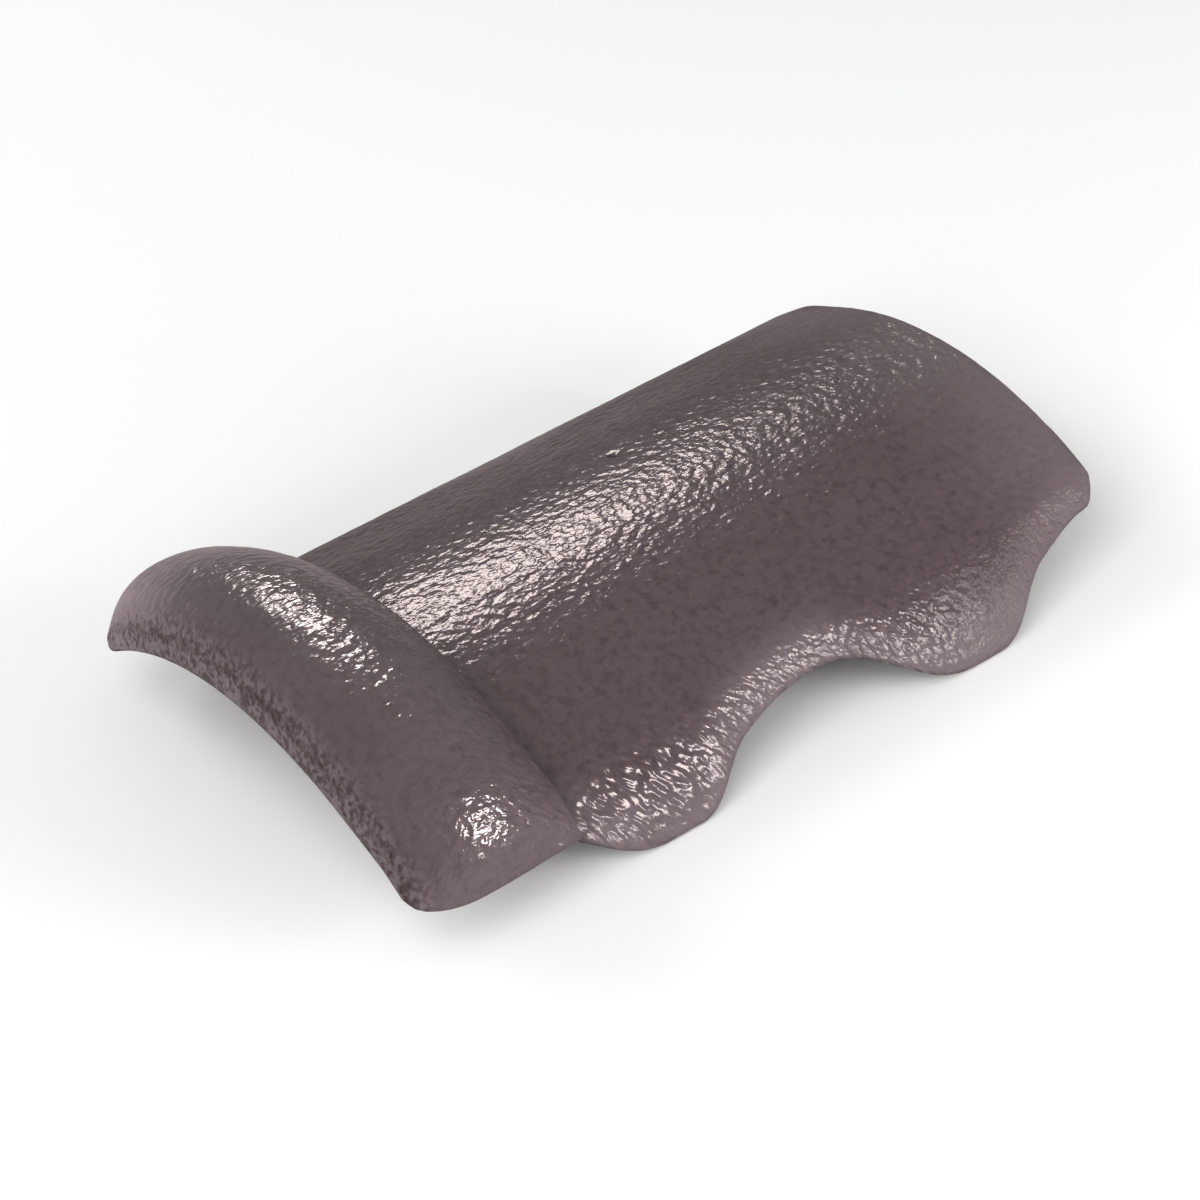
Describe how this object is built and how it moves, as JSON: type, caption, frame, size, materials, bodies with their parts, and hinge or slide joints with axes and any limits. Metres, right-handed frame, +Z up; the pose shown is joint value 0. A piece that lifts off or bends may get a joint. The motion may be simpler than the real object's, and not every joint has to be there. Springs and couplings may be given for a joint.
{
  "type": "ridge tile",
  "caption": "Cast concrete ridge tile with a rounded barrel, scalloped side edges that sit over a wave-profile roof and a raised collar at one end.",
  "frame": {"origin": "centre of the footprint, on the level floor that the side tongues rest on", "axes": "+Y along the ridge from the collar to the tail, +X across the ridge, +Z up"},
  "size_m": [0.229, 0.348, 0.086],
  "materials": {
    "concrete": "cast concrete with a glossy dark brown-grey coating, pebbled, and matt and rougher on the nose and underside"
  },
  "bodies": {
    "root": {"ridge_tile": "concrete"}
  },
  "joints": []
}
